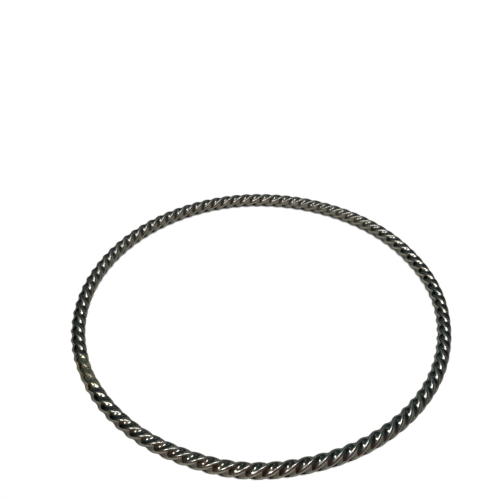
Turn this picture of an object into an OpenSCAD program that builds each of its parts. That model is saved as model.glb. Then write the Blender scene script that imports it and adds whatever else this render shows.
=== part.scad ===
/* [Ring] */
// Diameter of the ring, measured along the middle of the wire
ring_d = 67; // [56:0.5:78]
// How far the ring keeps its small bends, from 0 for a true circle to 1
out_of_round = 1; // [0:0.1:1.5]

/* [Wire] */
// Width of the square wire across two flats
wire_w = 2.14; // [1.7:0.02:2.6]
// Radius of the wire's four rounded corners
corner_r = 0.51; // [0.3:0.01:0.7]

/* [Twist] */
// Quarter turns of twist in the whole ring, which is the number of ridges seen along one side
quarter_turns = 92; // [72:4:104]
// Lay of the twist just past the joint, in quarter turns per ring
loose_lay = 86.3; // [80:0.1:92]
// Lay of the twist where it is tightest, in quarter turns per ring
tight_lay = 95.9; // [92:0.1:100]
// Lay of the twist where it comes back to the joint, in quarter turns per ring
last_lay = 92.7; // [85:0.1:100]
// Angle past the joint at which the twist begins to tighten
tighten_from = 76; // [20:1:140]
// Angle over which the twist tightens
tighten_over = 69; // [20:1:140]

/* [Solder joint] */
// Place of the joint round the ring, counted from the right-hand side
joint_at = 205.5; // [0:0.5:360]
// Direction of a corner at the joint, up from straight outwards
joint_corner = 48; // [0:1:89]
// Angle of ring on each side of the joint that the file and the solder have reached
joint_reach = 9; // [4:0.5:14]
// Share of the wire's thickness that the file took off
joint_filed = 0.055; // [0:0.005:0.1]
// How far solder has rounded the square section, from 0 to 1
joint_filled = 0.45; // [0:0.05:0.8]

/* [Hidden] */

ring_r = ring_d / 2;
// Distance from the wire's middle to the centre of a corner's arc, and to the corner's tip
core_r = (wire_w / 2 - corner_r) * sqrt(2);
tip_r = core_r + corner_r;
// Radius of the round section that the solder fills the wire out to
filled_r = 0.93 * tip_r;

// Bends that leave the ring out of round: place round the ring counted from the right-hand
// side, reach to each side in degrees, and how far the wire stands outwards in mm
bends = [
    [7, 17, 0.09],
    [69, 34, -0.2],
    [214, 26, -0.07],
    [265, 20, 0.27],
    [330, 16, 0.07],
];

// Mesh fineness: points round each corner, and rings of points in each quarter turn
corner_points = 4;
rings_per_quarter = 4;
section_points = 4 * corner_points;
rings = quarter_turns * rings_per_quarter;
arc_step = 90 / (corner_points - 1);

// The lay rises smoothly from loose to tight, then falls in a straight line to the joint.
tight_at = tighten_from + tighten_over;
// Area under a smooth step that rises from 0 to 1 while x goes from 0 to 1, and stays at 1
function step_area(x) =
    x <= 0 ? 0
    : x < 1 ? pow(x, 3) - pow(x, 4) / 2
    : x - 0.5;
// Twist gathered from the joint to angle v, before it is scaled to the whole number of turns
function gathered(v) =
    loose_lay * v
    + (tight_lay - loose_lay) * tighten_over * step_area((v - tighten_from) / tighten_over)
    - (tight_lay - last_lay) * pow(max(v - tight_at, 0), 2) / (2 * (360 - tight_at));
// Direction of a corner at angle v past the joint
function twist(v) = joint_corner + 90 * quarter_turns * gathered(v) / gathered(360);

// How much the joint shapes the section at angle v: 1 at its middle and 0 beyond its reach
function joint_share(v) =
    let (away = min(v, 360 - v) / joint_reach)
    away >= 1 ? 0 : pow(cos(90 * away), 2);

// Angle between two places on the ring, and how far the wire stands outwards at place a
function apart(a, b) = abs((a - b + 540) % 360 - 180);
function bent_out(a) =
    let (steps = [
        for (b = bends)
            let (away = apart(a, b[0]) / b[1])
            away >= 1 ? 0 : b[2] * pow(cos(90 * away), 2)
    ])
    out_of_round * steps * [for (b = bends) 1];

// Corner arcs: the end points lie on the flats, and the others on the tangent at the tip
function arc_r(j) =
    j == 0 || j == corner_points - 1 ? corner_r : corner_r / cos(arc_step / 2);
function corner_point(c, j) =
    let (a = 90 * c, b = a - 45 + arc_step * j)
    core_r * [cos(a), sin(a)] + arc_r(j) * [cos(b), sin(b)];
section = [
    for (c = [0:3], j = [0:corner_points - 1]) corner_point(c, j)
];

// One point of the section as the joint leaves it: drawn towards a round, then filed down
function shaped(p, share) =
    let (round = p * filled_r / norm(p), fill = joint_filled * share)
    (1 - joint_filed * share) * ((1 - fill) * p + fill * round);

// The same point carried to its place on the ring, turned by the twist there
function placed(p, v) =
    let (q = shaped(p, joint_share(v)), t = twist(v), a = joint_at + v)
    let (
        out = ring_r + bent_out(a) + q.x * cos(t) - q.y * sin(t),
        up = q.x * sin(t) + q.y * cos(t)
    )
    [out * cos(a), out * sin(a), tip_r + up];

band_points = [
    for (i = [0:rings - 1], p = section) placed(p, 360 * i / rings)
];

// Number of a point, with both counts running on past the end to the start
function at(i, k) = (i % rings) * section_points + k % section_points;

// Each cell of the skin is split along the diagonal that follows the ring
band_faces = [
    for (i = [0:rings - 1], k = [0:section_points - 1], half = [0, 1])
        half == 0
            ? [at(i, k), at(i, k + 1), at(i + 1, k)]
            : [at(i + 1, k), at(i, k + 1), at(i + 1, k + 1)]
];

// The wire, twisted about itself, bent into a ring and soldered to its own end
module twisted_band() {
    color("#6b6860")
        polyhedron(points = band_points, faces = band_faces, convexity = 10);
}

twisted_band();
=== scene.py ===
"""Looks of a bangle made of one square silver wire, twisted, bent round and soldered."""

from __future__ import annotations

import logging
import math
from dataclasses import dataclass, field
from enum import Enum
from typing import Any, Mapping, Sequence, Union

import bpy
import numpy as np
from mathutils import Matrix, Vector


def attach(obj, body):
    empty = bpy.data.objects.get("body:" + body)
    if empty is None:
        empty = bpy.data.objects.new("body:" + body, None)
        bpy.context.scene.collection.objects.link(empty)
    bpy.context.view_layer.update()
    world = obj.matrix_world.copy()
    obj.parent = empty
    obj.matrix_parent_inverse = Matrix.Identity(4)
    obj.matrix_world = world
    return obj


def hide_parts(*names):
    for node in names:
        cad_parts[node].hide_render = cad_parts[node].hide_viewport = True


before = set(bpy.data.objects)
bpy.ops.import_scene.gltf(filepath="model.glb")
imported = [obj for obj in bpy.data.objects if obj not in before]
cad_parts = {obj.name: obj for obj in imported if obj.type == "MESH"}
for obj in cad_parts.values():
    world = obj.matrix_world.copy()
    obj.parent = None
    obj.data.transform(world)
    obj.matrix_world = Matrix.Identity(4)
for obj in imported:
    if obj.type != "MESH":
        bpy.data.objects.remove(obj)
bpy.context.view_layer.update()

MM = 0.001
# Diameter of the ring along the middle of the wire, in millimetres
RING_D = 67.0
LOG = logging.getLogger("bangle")

Colour = tuple[float, float, float]
# From where to where a smooth step rises
Span = tuple[float, float]

WHITE: Colour = (1.0, 1.0, 1.0)


class Body(Enum):
    """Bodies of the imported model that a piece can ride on."""

    ROOT = "root"


class Slot(Enum):
    """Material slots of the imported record."""

    AGED_SILVER = "aged_silver"


class View(Enum):
    """Ways in which the render turns light into picture colours."""

    PLAIN = "Standard"


def direction(azimuth: float, height: float) -> Vector:
    """Unit vector towards an azimuth and a height above the horizon, in degrees."""
    a, h = math.radians(azimuth), math.radians(height)
    return Vector((math.cos(h) * math.cos(a), math.cos(h) * math.sin(a), math.sin(h)))


def put_in_scene(name: str, data: Any) -> bpy.types.Object:
    """Makes an object and links it to the scene.

    Args:
        name: The object's name.
        data: Its mesh, lamp or camera.

    Returns:
        The object.
    """
    thing = bpy.data.objects.new(name, data)
    bpy.context.scene.collection.objects.link(thing)
    return thing


# Shader maths


@dataclass(frozen=True)
class Socket:
    """A node's output that takes part in sums, so that shader maths reads as Python."""

    nodes: "Nodes"
    output: Any

    def _sum(self, operation: str, *values: "Value", clamp: bool = False) -> "Socket":
        """One Math node on the values, with its result held between 0 and 1 if clamp is set."""
        settings = {"operation": operation, "use_clamp": clamp}
        return self.nodes.add("ShaderNodeMath", settings, dict(enumerate(values)))

    def __add__(self, other: "Value") -> "Socket":
        """Sum of the two."""
        return self._sum("ADD", self, other)

    __radd__ = __add__

    def __sub__(self, other: "Value") -> "Socket":
        """This less the other."""
        return self._sum("SUBTRACT", self, other)

    def __rsub__(self, other: "Value") -> "Socket":
        """The other less this."""
        return self._sum("SUBTRACT", other, self)

    def __mul__(self, other: "Value") -> "Socket":
        """Product of the two."""
        return self._sum("MULTIPLY", self, other)

    __rmul__ = __mul__

    def __pow__(self, other: "Value") -> "Socket":
        """This to a power."""
        return self._sum("POWER", self, other)

    def held(self) -> "Socket":
        """This, held between 0 and 1."""
        return self._sum("ADD", self, 0.0, clamp=True)

    def step(self, low: float, high: float) -> "Socket":
        """Smooth step of this: 0 up to low, and 1 from high on."""
        settings = {"interpolation_type": "SMOOTHSTEP"}
        return self.nodes.add("ShaderNodeMapRange", settings, {0: self, 1: low, 2: high})


Value = Union[Socket, float]


class Nodes:
    """The node tree of one material or world, with one method that adds any node."""

    def __init__(self, owner: Any) -> None:
        """Clears the owner's tree.

        Args:
            owner: A material or world.
        """
        owner.use_nodes = True
        self.tree = owner.node_tree
        self.tree.nodes.clear()

    def add(
        self,
        kind: str,
        settings: Mapping[str, Any] | None = None,
        inputs: Mapping[Any, Any] | None = None,
        out: Any = 0,
    ) -> Socket:
        """Adds a node.

        Args:
            kind: The node's type.
            settings: Its settings, set first.
            inputs: Values or sockets for its inputs, by number or name.
            out: Which output is wanted, by number or name.

        Returns:
            That output, or none where the node has no outputs.
        """
        node = self.tree.nodes.new(kind)
        for name, value in (settings or {}).items():
            setattr(node, name, value)
        for name, value in (inputs or {}).items():
            if isinstance(value, Socket):
                self.tree.links.new(value.output, node.inputs[name])
            else:
                node.inputs[name].default_value = value
        return Socket(self, node.outputs[out] if len(node.outputs) else None)

    def attribute(self, name: str, out: str = "Fac") -> Socket:
        """An attribute of the mesh, as a number or, with out set to Vector, as a place."""
        return self.add("ShaderNodeAttribute", {"attribute_name": name}, out=out)

    def blend(self, share: Value, first: Any, second: Any, how: str = "MIX") -> Socket:
        """Mixes two colours.

        Args:
            share: How much of the second shows.
            first: A colour or socket.
            second: A colour or socket.
            how: The Mix node's blend type.

        Returns:
            The mixed colour.
        """
        settings = {"data_type": "RGBA", "blend_type": how, "clamp_factor": True}
        given = {0: share, 6: self._colour(first), 7: self._colour(second)}
        return self.add("ShaderNodeMix", settings, given, out=2)

    @staticmethod
    def _colour(colour: Any) -> Any:
        """The colour with its alpha, or the socket as it is."""
        return colour if isinstance(colour, Socket) else (*colour, 1.0)

    def dot(self, first: Socket, second: Sequence[float]) -> Socket:
        """Scalar product of two vectors."""
        settings = {"operation": "DOT_PRODUCT"}
        return self.add("ShaderNodeVectorMath", settings, {0: first, 1: tuple(second)}, out=1)

    def dimmed(self, colour: Any, share: Value) -> Socket:
        """A colour multiplied by a number."""
        settings = {"operation": "SCALE"}
        return self.add("ShaderNodeVectorMath", settings, {0: colour, 3: share})

    def stretched(self, where: Socket, scale: Sequence[float]) -> Socket:
        """Coordinates multiplied by a factor along each axis."""
        settings = {"operation": "MULTIPLY"}
        return self.add("ShaderNodeVectorMath", settings, {0: where, 1: tuple(scale)})

    def openness(self, reach: Value) -> Socket:
        """How open the air is within a reach in millimetres: 0 for shut in, 1 for open."""
        given = {"Distance": reach * MM}
        return self.add("ShaderNodeAmbientOcclusion", None, given, out="AO")

    def bump(self, height: Socket, depth: float, under: Socket | None = None) -> Socket:
        """Turns a height into a normal.

        Args:
            height: The height, from 0 to 1.
            depth: What 1 stands for, in millimetres.
            under: A normal to start from.

        Returns:
            The normal.
        """
        given = {"Strength": 1.0, "Distance": depth * MM, "Height": height}
        if under is not None:
            given["Normal"] = under
        return self.add("ShaderNodeBump", None, given, out="Normal")


# Finishes


@dataclass(frozen=True)
class Grain:
    """Noise around 0.5: cells per millimetre, octaves, and a stretch that comes first."""

    cells: float
    octaves: float = 2.0
    stretch: tuple[float, float, float] | None = None

    def draw(self, nodes: Nodes, place: Socket) -> Socket:
        """Draws the noise.

        Args:
            nodes: The material's nodes.
            place: Coordinates in millimetres.

        Returns:
            The noise.
        """
        where = place if self.stretch is None else nodes.stretched(place, self.stretch)
        given = {"Vector": where, "Scale": self.cells, "Detail": self.octaves}
        return nodes.add("ShaderNodeTexNoise", None, given, out="Fac")


@dataclass(frozen=True)
class Patch:
    """A stretch of the ring where age shows differently; the dull patch also carries painted
    light.

    It lies towards one side, given by an angle round the ring, and is measured by how far
    a place lies out to that side, in millimetres.
    """

    at: float
    start: float
    full: float

    def share(self, nodes: Nodes, place: Socket, uneven: Value) -> Socket:
        """How strongly the patch shows, with a distance added that makes its edge uneven."""
        out = nodes.dot(place, direction(self.at, 0.0))
        return (out + uneven).step(self.start, self.full)


@dataclass(frozen=True)
class Marks:
    """What a place on the band is like, as sockets.

    Place is in millimetres. Ridge is 1 along a ridge and 0.5 in the middle of a flat, and
    joint tells how much solder colours the wire. The shares of the patches and the pits go
    from 0 to 1, and the grain lies around 0.5.
    """

    place: Socket
    ridge: Socket
    joint: Socket
    browned: Socket
    blued: Socket
    dulled: Socket
    heated: Socket
    blotches: Socket
    drawn: Socket
    hairs: Socket
    pits: Socket


@dataclass(frozen=True)
class Tarnish:
    """The dark flats: browner or bluer in patches, and a lighter grey towards the far side that
    is partly painted reflection of brighter surroundings, with clouds and specks.
    """

    plain: Colour = (0.152, 0.160, 0.150)
    brown: Colour = (0.170, 0.152, 0.133)
    blue: Colour = (0.153, 0.172, 0.172)
    grey_and_lit: Colour = (0.202, 0.204, 0.186)
    mottle: Grain = Grain(cells=0.33)
    mottled: float = 2.0
    clouds: Grain = Grain(cells=0.45, octaves=3.0)
    clouded: float = 0.5
    specks: Grain = Grain(cells=7.0)
    speck_span: Span = (0.50, 0.75)
    speckled: float = 0.25

    def colour(self, nodes: Nodes, marks: Marks) -> Socket:
        """The flats' colour: patch over patch, less a share for the specks and clouds.

        Args:
            nodes: The material's nodes.
            marks: The band's marks.

        Returns:
            The colour.
        """
        uneven = (self.mottle.draw(nodes, marks.place) - 0.5) * self.mottled
        colour = nodes.blend((marks.browned + uneven).held(), self.plain, self.brown)
        colour = nodes.blend((marks.blued - uneven).held(), colour, self.blue)
        # Partly painted reflection: the dull patch's lighter grey stands in for the brighter
        # surroundings that the far side reflects.
        colour = nodes.blend(marks.dulled, colour, self.grey_and_lit)
        specks = self.specks.draw(nodes, marks.place).step(*self.speck_span)
        clouds = self.clouds.draw(nodes, marks.place) - 0.5
        shade = 1.0 - (specks * self.speckled + clouds * self.clouded)
        return nodes.dimmed(colour, shade)


@dataclass(frozen=True)
class Bare:
    """The bare metal along the ridges, streaked by hairs along the wire.

    The span says from where to where the ridge share wears the tarnish off. Wear is less
    in the dull patch and where soldering heated the wire.
    """

    silver: Colour = (0.37, 0.365, 0.335)
    streaked: float = 0.40
    span: Span = (0.78, 0.92)
    blotched: float = 0.12
    lined: float = 0.08
    less_dulled: float = 0.15
    less_heated: float = 0.40

    def wear(self, marks: Marks) -> Socket:
        """How far the tarnish is worn off: a step up near a ridge, with an uneven edge.

        Args:
            marks: The band's marks.

        Returns:
            The share of bare metal, from 0 to 1.
        """
        edge = (marks.blotches - 0.5) * self.blotched + (marks.drawn - 0.5) * self.lined
        wear = (marks.ridge + edge).step(*self.span)
        kept = (1.0 - marks.dulled * self.less_dulled) * (1.0 - marks.heated * self.less_heated)
        return wear * kept

    def colour(self, nodes: Nodes, marks: Marks) -> Socket:
        """The bare metal's colour, a little lighter or darker by the hairs."""
        streaks = (1.0 - self.streaked / 2) + marks.hairs * self.streaked
        return nodes.dimmed(self.silver, streaks)


@dataclass(frozen=True)
class Solder:
    """Solder that fills the joint, and the crust of flux that sits in its hollows.

    Each is a ragged step up over a span, times a step that ends it at the joint's edge.
    Rubbed is how much of the crust has gone from the ridges.
    """

    solder: Colour = (0.36, 0.34, 0.25)
    red_brown: Colour = (0.095, 0.026, 0.012)
    olive: Colour = (0.060, 0.054, 0.032)
    fill_ragged: float = 0.8
    fill_span: Span = (0.15, 0.60)
    fill_edge: Span = (0.02, 0.20)
    fill_cover: float = 0.95
    crust_grain: Grain = Grain(cells=1.3)
    crust_ragged: float = 2.6
    crust_joint: float = 0.5
    crust_span: Span = (0.25, 0.70)
    crust_edge: Span = (0.05, 0.40)
    crust_cover: float = 0.9
    crust_not_metal: float = 0.6
    rubbed: float = 0.85
    rubbed_span: Span = (0.5, 0.9)
    spots: Grain = Grain(cells=1.5, octaves=1.0)
    spot_span: Span = (0.46, 0.54)

    def fill(self, marks: Marks) -> Socket:
        """How much solder fills the joint, with a ragged edge."""
        ragged = marks.joint + (marks.blotches - 0.5) * self.fill_ragged
        return ragged.step(*self.fill_span) * marks.joint.step(*self.fill_edge)

    def crust(self, nodes: Nodes, marks: Marks) -> Socket:
        """How much crust lies on the joint: islands, rubbed off along the ridges.

        Args:
            nodes: The material's nodes.
            marks: The band's marks.

        Returns:
            The share of crust, from 0 to 1.
        """
        ragged = (self.crust_grain.draw(nodes, marks.place) - 0.5) * self.crust_ragged
        islands = (marks.joint * self.crust_joint + ragged).step(*self.crust_span)
        left = 1.0 - marks.ridge.step(*self.rubbed_span) * self.rubbed
        return islands * marks.joint.step(*self.crust_edge) * left

    def colour(
        self, nodes: Nodes, marks: Marks, fill: Socket, crust: Socket, under: Socket
    ) -> Socket:
        """Lays solder over the silver, and olive and red-brown crust over the solder.

        Args:
            nodes: The material's nodes.
            marks: The band's marks.
            fill: How much solder there is.
            crust: How much crust there is.
            under: The silver's colour.

        Returns:
            The colour.
        """
        colour = nodes.blend(fill * self.fill_cover, under, self.solder)
        spots = self.spots.draw(nodes, marks.place).step(*self.spot_span)
        flux = nodes.blend(spots, self.olive, self.red_brown)
        return nodes.blend(crust * self.crust_cover, colour, flux)


@dataclass(frozen=True)
class Gloss:
    """Roughness of the flats and of bare metal, and what each mark adds to it."""

    flats: float = 0.085
    bare: float = 0.22
    dulled: float = 0.17
    blued: float = 0.03
    blotched: float = 0.08
    lined: float = 0.06
    pitted: float = 0.2
    filled: float = 0.05
    crusted: float = 0.18

    def roughness(self, marks: Marks, wear: Socket, fill: Socket, crust: Socket) -> Socket:
        """The roughness: the flats' turning into the bare metal's by wear, plus the marks'.

        Args:
            marks: The band's marks.
            wear: How much bare metal shows.
            fill: How much solder there is.
            crust: How much crust there is.

        Returns:
            The roughness.
        """
        rough = self.flats + wear * (self.bare - self.flats)
        rough = rough + marks.dulled * self.dulled + marks.blued * self.blued
        rough = rough + (marks.blotches - 0.5) * self.blotched
        rough = rough + (marks.drawn - 0.5) * self.lined
        return rough + marks.pits * self.pitted + fill * self.filled + crust * self.crusted


@dataclass(frozen=True)
class Relief:
    """Fine relief: waves, lines along the wire, pits, and lumps of solder at the joint."""

    wave_depth: float = 0.0010
    line_depth: float = 0.0003
    pit_depth: float = 0.0006
    lump_depth: float = 0.10
    lumps: Grain = Grain(cells=1.1)
    lump_edge: Span = (0.02, 0.35)

    def normal(self, nodes: Nodes, marks: Marks) -> Socket:
        """Lays one relief over the other. The lines are the mean of two grains.

        Args:
            nodes: The material's nodes.
            marks: The band's marks.

        Returns:
            The normal.
        """
        normal = nodes.bump(marks.blotches, self.wave_depth)
        lines = (marks.drawn + marks.hairs) * 0.5
        normal = nodes.bump(lines, self.line_depth, normal)
        normal = nodes.bump(1.0 - marks.pits, self.pit_depth, normal)
        lumps = self.lumps.draw(nodes, marks.place) * marks.joint.step(*self.lump_edge)
        return nodes.bump(lumps, self.lump_depth, normal)


@dataclass(frozen=True)
class AgedSilver:
    """Worn silver: bright and scuffed along the ridges, tarnished and glossy on the flats.

    Lengths are in millimetres. The band's attributes tell how near a place is to a ridge,
    how much solder colours it, and where it lies in the straight wire before the twist.
    The edge of a patch strays unevenly, and the heated one's strays by a share of that.
    """

    grazing: Colour = (0.46, 0.47, 0.46)
    tarnish: Tarnish = Tarnish()
    bare: Bare = Bare()
    solder: Solder = Solder()
    gloss: Gloss = Gloss()
    relief: Relief = Relief()
    brown_patch: Patch = Patch(at=256.0, start=22.0, full=36.0)
    blue_patch: Patch = Patch(at=328.0, start=16.0, full=36.0)
    # Far side, at 104 degrees: rougher and less worn, and painted a lighter grey that stands in
    # for brighter reflected surroundings.
    dull_and_lit_patch: Patch = Patch(at=104.0, start=-8.0, full=24.0)
    heated_patch: Patch = Patch(at=202.0, start=22.0, full=31.0)
    edge_grain: Grain = Grain(cells=0.16)
    edge_strays: float = 14.0
    heated_edge: float = 0.3
    blotches: Grain = Grain(cells=1.6, octaves=3.0)
    drawn: Grain = Grain(cells=1.0, octaves=4.0, stretch=(9.0, 9.0, 0.45))
    hairs: Grain = Grain(cells=1.0, octaves=3.0, stretch=(38.0, 38.0, 1.3))
    pits: Grain = Grain(cells=16.0, octaves=1.0)
    pit_span: Span = (0.66, 0.76)
    pit_shade: float = 0.6

    def _marks(self, nodes: Nodes) -> Marks:
        """Reads the band's attributes and works out where each mark shows.

        Args:
            nodes: The material's nodes.

        Returns:
            The marks.
        """
        metres = nodes.add("ShaderNodeTexCoord", out="Object")
        place = nodes.stretched(metres, (1.0 / MM, 1.0 / MM, 1.0 / MM))
        straight = nodes.attribute("straight", out="Vector")
        uneven = (self.edge_grain.draw(nodes, place) - 0.5) * (2.0 * self.edge_strays)
        return Marks(
            place=place,
            ridge=nodes.attribute("ridge"),
            joint=nodes.attribute("joint"),
            browned=self.brown_patch.share(nodes, place, uneven),
            blued=self.blue_patch.share(nodes, place, uneven),
            dulled=self.dull_and_lit_patch.share(nodes, place, uneven),
            heated=self.heated_patch.share(nodes, place, uneven * self.heated_edge),
            blotches=self.blotches.draw(nodes, place),
            drawn=self.drawn.draw(nodes, straight),
            hairs=self.hairs.draw(nodes, straight),
            pits=self.pits.draw(nodes, place).step(*self.pit_span),
        )

    def make(self) -> bpy.types.Material:
        """Makes the material.

        Returns:
            The material, for a mesh that has the band's attributes.
        """
        material = bpy.data.materials.new("aged_silver")
        nodes = Nodes(material)
        marks = self._marks(nodes)
        wear = self.bare.wear(marks)
        fill = self.solder.fill(marks)
        crust = self.solder.crust(nodes, marks)
        flats = self.tarnish.colour(nodes, marks)
        silver = nodes.blend(wear, flats, self.bare.colour(nodes, marks))
        silver = nodes.dimmed(silver, 1.0 - marks.pits * self.pit_shade)
        shader = nodes.add(
            "ShaderNodeBsdfPrincipled",
            None,
            {
                "Base Color": self.solder.colour(nodes, marks, fill, crust, silver),
                "Specular Tint": (*self.grazing, 1.0),
                "Metallic": 1.0 - crust * self.solder.crust_not_metal,
                "Roughness": self.gloss.roughness(marks, wear, fill, crust),
                "Normal": self.relief.normal(nodes, marks),
            },
        )
        nodes.add("ShaderNodeOutputMaterial", None, {"Surface": shader})
        return material


@dataclass(frozen=True)
class WhiteSheet:
    """The white paper under the object, washed out to plain white where it is looked at.

    Lengths are in millimetres. The contact shade reaches a little further inside the ring.
    """

    paper: Colour = (0.80, 0.78, 0.72)
    reach: float = 0.7
    contact: float = 0.35
    inner_contact: float = 0.55
    contact_shade: float = 0.10
    open_span: Span = (0.3, 0.8)
    ring_r: float = RING_D / 2
    ring_edge: float = 0.5

    def make(self) -> bpy.types.Material:
        """Makes the material: matt paper with painted shade where something is near it in
        reflections, and plain white when looked at.

        Looked at, it keeps only a thin shade where something all but touches it: the
        white is multiplied by how open the sky is within the contact's reach.

        Returns:
            The material.
        """
        material = bpy.data.materials.new("white_sheet")
        nodes = Nodes(material)
        # Painted shade: in reflections the paper is darkened by the square of how open the air is
        # within the reach, so it is darkest right under the ring.
        open_air = nodes.openness(self.reach)
        paper = nodes.dimmed(self.paper, open_air * open_air)
        matt = nodes.add("ShaderNodeBsdfDiffuse", None, {"Color": paper})
        place = nodes.add("ShaderNodeTexCoord", out="Object")
        radius = nodes.add("ShaderNodeVectorMath", {"operation": "LENGTH"}, {0: place}, out=1)
        inner, outer = self.ring_r - self.ring_edge, self.ring_r + self.ring_edge
        outside = (radius * (1.0 / MM)).step(inner, outer)
        near = self.inner_contact - outside * (self.inner_contact - self.contact)
        open_sky = nodes.openness(near)
        lit = self.contact_shade + open_sky.step(*self.open_span) * (1.0 - self.contact_shade)
        white = nodes.add("ShaderNodeEmission", None, {"Color": nodes.dimmed(WHITE, lit)})
        direct = nodes.add("ShaderNodeLightPath", out="Is Camera Ray")
        both = nodes.add("ShaderNodeMixShader", None, {0: direct, 1: matt, 2: white})
        nodes.add("ShaderNodeOutputMaterial", None, {"Surface": both})
        return material


# The wire


@dataclass
class Lay:
    """The wire's twist round the ring, in quarter turns per ring and degrees."""

    quarter_turns: int = 92
    loose: float = 86.3
    tight: float = 95.9
    last: float = 92.7
    tighten_from: float = 76.0
    tighten_over: float = 69.0
    corner_at_joint: float = 48.0

    def _gathered(self, v: np.ndarray) -> np.ndarray:
        """Twist gathered from the joint, before it is scaled to the whole number of turns.

        The lay rises from loose to tight along a smooth step, whose area is x^3 - x^4/2,
        and then falls in a straight line to its last value.

        Args:
            v: Angles past the joint, in degrees.

        Returns:
            The twist gathered at each.
        """
        x = np.clip((v - self.tighten_from) / self.tighten_over, 0.0, None)
        area = np.where(x < 1.0, x**3 - x**4 / 2, x - 0.5)
        tight_at = self.tighten_from + self.tighten_over
        past = np.maximum(v - tight_at, 0.0)
        fall = (self.tight - self.last) * past**2 / (2 * (360.0 - tight_at))
        return self.loose * v + (self.tight - self.loose) * self.tighten_over * area - fall

    def twist(self, v: np.ndarray) -> np.ndarray:
        """Directions of a corner at angles past the joint, up from outwards, in degrees."""
        # The corner's start, plus all the turns times the part of them gathered by then
        whole = self._gathered(np.array(360.0))
        return self.corner_at_joint + 90.0 * self.quarter_turns * self._gathered(v) / whole


@dataclass
class SquareSection:
    """The wire's section: a square with rounded corners, in millimetres."""

    width: float = 2.14
    corner: float = 0.51
    arc_points: int = 8
    flat_points: int = 4

    @property
    def core(self) -> float:
        """Wire's middle to a corner arc's centre: along the diagonal, short by the corner."""
        return (self.width / 2 - self.corner) * math.sqrt(2.0)

    @property
    def tip(self) -> float:
        """Distance from the wire's middle to a corner's tip."""
        return self.core + self.corner

    def outline(self) -> tuple[np.ndarray, np.ndarray, np.ndarray]:
        """Points round the section, from one corner to the next three.

        Each quarter has the points of a corner's arc, which is the arc's centre plus the
        corner radius in a direction that sweeps a right angle, and then points along the
        flat to the next arc, at even steps. The ridge share is 0.5 plus half the cosine of
        twice the angle from the corner's tip.

        Returns:
            The points' x, their y, and how close each is to a ridge, from 0.5 to 1.
        """
        sweep = np.radians(np.linspace(-45.0, 45.0, self.arc_points))
        arc = self.core + self.corner * np.exp(1j * sweep)
        along = np.arange(1, self.flat_points + 1) / (self.flat_points + 1)
        start, end = arc[-1], 1j * arc[0]
        quarter = np.concatenate([arc, start + (end - start) * along])
        off_tip = np.abs(np.mod(np.degrees(np.angle(quarter)) + 45.0, 90.0) - 45.0)
        ridge = np.cos(np.radians(2.0 * off_tip)) * 0.5 + 0.5
        turned = np.concatenate([quarter * 1j**k for k in range(4)])
        return turned.real, turned.imag, np.tile(ridge, 4)


@dataclass
class SolderJoint:
    """Where the wire's two ends meet: filed thinner, and filled out rounder by solder.

    Angles are in degrees. Its colour spreads a little further than its shape.
    """

    at: float = 205.5
    reach: float = 9.0
    filed: float = 0.055
    filled: float = 0.45
    round_share: float = 0.93
    stain_past: float = 1.5
    stain_reach: float = 11.5

    @staticmethod
    def _fall(v: np.ndarray, reach: float) -> np.ndarray:
        """Squared cosine of the way to a reach: 1 at 0 degrees, and 0 at the reach or past it."""
        away = np.clip(np.minimum(v, 360.0 - v) / reach, 0.0, 1.0)
        return np.cos(np.radians(90.0 * away)) ** 2

    def share(self, v: np.ndarray) -> np.ndarray:
        """How much the joint shapes the section at angles past the joint, in degrees."""
        return self._fall(v, self.reach)

    def stain(self, v: np.ndarray) -> np.ndarray:
        """How much solder colours the wire at angles past the joint, in degrees."""
        return self._fall(np.mod(v - self.stain_past, 360.0), self.stain_reach)


@dataclass(frozen=True)
class Bend:
    """A place where the ring is out of round. Angles in degrees, outwards in millimetres."""

    at: float
    reach: float
    outwards: float

    def offset(self, angle: np.ndarray) -> np.ndarray:
        """How far the wire stands outwards: squared cosine of the way to the reach.

        Args:
            angle: Places round the ring, in degrees.

        Returns:
            The offset at each, in millimetres.
        """
        apart = np.abs(np.mod(angle - self.at + 180.0, 360.0) - 180.0)
        away = np.clip(apart / self.reach, 0.0, 1.0)
        return self.outwards * np.cos(np.radians(90.0 * away)) ** 2


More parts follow.
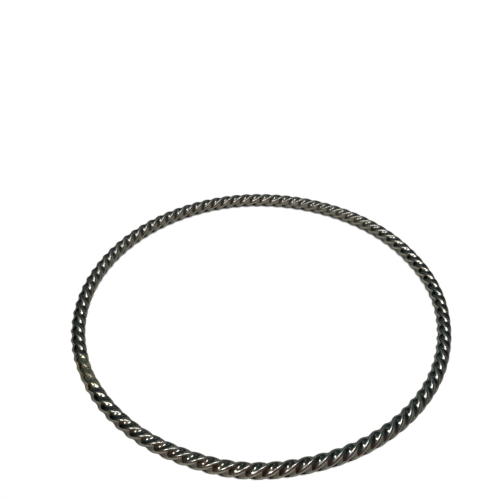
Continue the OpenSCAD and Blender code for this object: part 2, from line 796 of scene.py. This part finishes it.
@dataclass
class TwistedBand:
    """The whole bangle: the twisted wire, bent into a ring and soldered to itself."""

    ring_d: float = RING_D
    bends: tuple[Bend, ...] = (
        Bend(at=7.0, reach=17.0, outwards=0.09),
        Bend(at=69.0, reach=34.0, outwards=-0.20),
        Bend(at=214.0, reach=26.0, outwards=-0.07),
        Bend(at=265.0, reach=20.0, outwards=0.27),
        Bend(at=330.0, reach=16.0, outwards=0.07),
    )
    steps_per_quarter: int = 22
    lay: Lay = field(default_factory=Lay)
    section: SquareSection = field(default_factory=SquareSection)
    joint: SolderJoint = field(default_factory=SolderJoint)
    finish: AgedSilver = field(default_factory=AgedSilver)

    def _surface(self) -> tuple[np.ndarray, np.ndarray, np.ndarray, np.ndarray]:
        """The wire's skin as a grid: angle round the ring by place round the section.

        A point of the section is drawn towards a circle where solder fills it, made
        smaller where the file took metal off, turned by the twist, and carried round the
        ring: its distance from the axis is the ring's radius plus the bends' offset and its
        outward part, and its height is the corner's reach plus its upward part. Its place
        in the straight wire is its place in the section and the way along the wire.

        Returns:
            Places in metres, ridge share, how much solder colours each, and places in the
            straight wire in millimetres.
        """
        rings = self.lay.quarter_turns * self.steps_per_quarter
        v = np.arange(rings) * (360.0 / rings)
        x, y, ridge = self.section.outline()
        share = self.joint.share(v)[:, None]
        radius = np.hypot(x, y)[None, :]
        rounder = self.joint.round_share * self.section.tip / radius - 1.0
        scale = (1.0 - self.joint.filed * share) * (1.0 + self.joint.filled * share * rounder)
        turn = np.radians(self.lay.twist(v))[:, None]
        out = (x * np.cos(turn) - y * np.sin(turn)) * scale
        up = (x * np.sin(turn) + y * np.cos(turn)) * scale
        angle = np.radians(self.joint.at + v)[:, None]
        bent = sum(bend.offset(self.joint.at + v) for bend in self.bends)
        distance = self.ring_d / 2 + bent[:, None] + out
        height = self.section.tip + up
        places = np.stack([distance * np.cos(angle), distance * np.sin(angle), height], axis=-1)
        grid = np.ones_like(out)
        length = np.radians(v)[:, None] * self.ring_d / 2
        straight = np.stack([grid * x, grid * y, grid * length], axis=-1)
        return places * MM, grid * ridge, grid * self.joint.stain(v)[:, None], straight

    @staticmethod
    def _quads(rings: int, around: int) -> np.ndarray:
        """Faces of a grid that closes on itself both ways.

        A face joins a row to the next one, between one point of a row and the next.

        Args:
            rings: How many rows of points there are.
            around: How many points a row has.

        Returns:
            The numbers of each face's four corners.
        """
        i, k = np.meshgrid(np.arange(rings), np.arange(around), indexing="ij")
        ahead, beside = (i + 1) % rings, (k + 1) % around
        corners = ((i, k), (i, beside), (ahead, beside), (ahead, k))
        numbers = [row * around + point for row, point in corners]
        return np.stack(numbers, axis=-1).reshape(-1, 4)

    def build(self) -> bpy.types.Object:
        """Builds the band's mesh, with the attributes that its finish reads.

        Returns:
            The band's object, not yet dressed.
        """
        places, ridge, stain, straight = self._surface()
        quads = self._quads(*ridge.shape)
        mesh = bpy.data.meshes.new("twisted_wire")
        mesh.vertices.add(ridge.size)
        mesh.vertices.foreach_set("co", places.astype(np.float32).ravel())
        mesh.loops.add(quads.size)
        mesh.loops.foreach_set("vertex_index", quads.astype(np.int32).ravel())
        mesh.polygons.add(len(quads))
        mesh.polygons.foreach_set("loop_start", np.arange(0, quads.size, 4, dtype=np.int32))
        mesh.update(calc_edges=True)
        mesh.validate()
        mesh.polygons.foreach_set("use_smooth", np.ones(len(mesh.polygons), dtype=bool))
        attributes = (
            ("ridge", "FLOAT", "value", ridge),
            ("joint", "FLOAT", "value", stain),
            ("straight", "FLOAT_VECTOR", "vector", straight),
        )
        for name, kind, part, values in attributes:
            attribute = mesh.attributes.new(name, kind, "POINT")
            attribute.data.foreach_set(part, values.astype(np.float32).ravel())
        return put_in_scene("twisted_wire", mesh)

    def dress(self, band: bpy.types.Object) -> None:
        """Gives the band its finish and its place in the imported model.

        Args:
            band: The band's object.
        """
        band.data.materials.append(self.finish.make())
        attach(band, Body.ROOT.value)
        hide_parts("twisted_band")


# The studio


@dataclass
class Lamp:
    """A soft lamp, round or drawn out sideways, aimed at the ring's middle.

    Angles are in degrees and the distance in metres. Stretch is the lamp's width over its
    height. Mirrored tells whether the metal reflects it.
    """

    name: str
    azimuth: float
    height: float
    spread: float
    brightness: float
    stretch: float = 1.0
    colour: Colour = (1.0, 0.985, 0.94)
    distance: float = 0.5
    mirrored: bool = True

    def build(self) -> None:
        """Builds the lamp.

        A lamp of half width a, half height b and power P has a brightness of
        P / (pi * pi * a * b).
        """
        radius = self.distance * math.tan(math.radians(self.spread))
        light = bpy.data.lights.new(self.name, "AREA")
        light.shape = "ELLIPSE"
        light.size, light.size_y = 2 * radius * self.stretch, 2 * radius
        light.energy = self.brightness * (math.pi * radius) ** 2 * self.stretch
        light.color = self.colour
        lamp = put_in_scene(self.name, light)
        lamp.visible_glossy = self.mirrored
        towards = direction(self.azimuth, self.height)
        lamp.location = towards * self.distance
        lamp.rotation_mode = "QUATERNION"
        lamp.rotation_quaternion = (-towards).to_track_quat("-Z", "Y")


@dataclass
class Glow:
    """A faint patch of colour that the room gives back, towards one side, in degrees."""

    azimuth: float
    height: float
    colour: Colour
    tightness: float = 10.0


@dataclass
class Studio:
    """White sheet, soft lamps, and the dim room that the metal reflects.

    The sheet's side is in metres.
    """

    lamps: tuple[Lamp, ...] = (
        Lamp("lamp_above", azimuth=108.0, height=80.0, spread=7.0, brightness=10.0, stretch=1.5),
        Lamp("lamp_left", azimuth=207.0, height=56.0, spread=6.0, brightness=13.0, stretch=1.3),
        Lamp("lamp_far", azimuth=72.0, height=44.0, spread=6.0, brightness=0.8),
        Lamp("fill", azimuth=200.0, height=72.0, spread=25.0, brightness=1.0, mirrored=False),
    )
    room: Colour = (0.005, 0.006, 0.005)
    glows: tuple[Glow, ...] = (
        Glow(azimuth=0.0, height=8.0, colour=(0.145, 0.185, 0.19)),
        Glow(azimuth=50.0, height=10.0, colour=(0.20, 0.225, 0.22)),
        Glow(azimuth=95.0, height=30.0, colour=(0.100, 0.160, 0.170)),
        Glow(azimuth=195.0, height=-5.0, colour=(0.060, 0.060, 0.054), tightness=14.0),
        Glow(azimuth=288.0, height=8.0, colour=(0.155, 0.036, 0.032), tightness=14.0),
        Glow(azimuth=320.0, height=5.0, colour=(0.130, 0.045, 0.050), tightness=16.0),
        Glow(azimuth=238.0, height=10.0, colour=(0.105, 0.028, 0.020), tightness=16.0),
        Glow(azimuth=225.0, height=34.0, colour=(0.207, 0.182, 0.145)),
        Glow(azimuth=315.0, height=35.0, colour=(0.093, 0.093, 0.088)),
        Glow(azimuth=165.0, height=72.0, colour=(0.34, 0.33, 0.305)),
        Glow(azimuth=185.0, height=71.0, colour=(0.45, 0.435, 0.39), tightness=45.0),
        Glow(azimuth=90.0, height=66.0, colour=(0.229, 0.229, 0.218), tightness=20.0),
        Glow(azimuth=270.0, height=70.0, colour=(0.188, 0.172, 0.156)),
    )
    sheet: WhiteSheet = field(default_factory=WhiteSheet)
    sheet_side: float = 8.0

    def build(self) -> None:
        """Builds the sheet, the lamps and the room."""
        half = self.sheet_side / 2
        mesh = bpy.data.meshes.new("white_sheet")
        corners = [(-half, -half, 0), (half, -half, 0), (half, half, 0), (-half, half, 0)]
        mesh.from_pydata(corners, [], [(0, 1, 2, 3)])
        mesh.materials.append(self.sheet.make())
        floor = put_in_scene("white_sheet", mesh)
        for lamp in self.lamps:
            lamp.build()
        self._build_room()
        bpy.context.scene.view_settings.view_transform = View.PLAIN.value

    def _build_room(self) -> None:
        """Makes the room: plain white behind the object, and dim where metal reflects it.

        Each glow adds its colour times the cosine between the direction and the glow's
        own, held at 0, to the power of its tightness.
        """
        world = bpy.data.worlds.new("room")
        bpy.context.scene.world = world
        nodes = Nodes(world)
        way = nodes.add("ShaderNodeTexCoord", out="Generated")
        seen: Any = self.room
        for glow in self.glows:
            share = nodes.dot(way, direction(glow.azimuth, glow.height)).held() ** glow.tightness
            seen = nodes.blend(share, seen, glow.colour, how="ADD")
        dim = nodes.add("ShaderNodeBackground", None, {"Color": seen, "Strength": 1.0})
        pale = nodes.add("ShaderNodeBackground", None, {"Color": (*WHITE, 1.0)})
        direct = nodes.add("ShaderNodeLightPath", out="Is Camera Ray")
        both = nodes.add("ShaderNodeMixShader", None, {0: direct, 1: dim, 2: pale})
        nodes.add("ShaderNodeOutputWorld", None, {"Surface": both})


@dataclass
class Camera:
    """The camera, where the photograph was taken from, in millimetres and degrees."""

    place: tuple[float, float, float] = (-1.763, -92.032, 97.350)
    look_down: float = 41.467
    roll: float = -0.820
    focal: float = 51.167
    sensor: float = 36.0
    nearest: float = 1.0

    def build(self) -> None:
        """Builds the camera and makes it the scene's."""
        data = bpy.data.cameras.new("camera")
        data.lens, data.sensor_width = self.focal, self.sensor
        data.clip_start = self.nearest * MM
        camera = put_in_scene("camera", data)
        tilt = Matrix.Rotation(math.radians(90.0 - self.look_down), 4, "X")
        roll = Matrix.Rotation(math.radians(self.roll), 4, "Z")
        camera.matrix_world = Matrix.Translation(Vector(self.place) * MM) @ tilt @ roll
        bpy.context.scene.camera = camera


def main() -> None:
    """Builds the camera, the bangle and the studio, and reports each piece."""
    logging.basicConfig(level=logging.INFO, format="%(message)s")
    Camera().build()
    band = TwistedBand()
    piece = band.build()
    band.dress(piece)
    LOG.info("%s: %d faces", piece.name, len(piece.data.polygons))
    Studio().build()


if __name__ == "__main__":
    main()
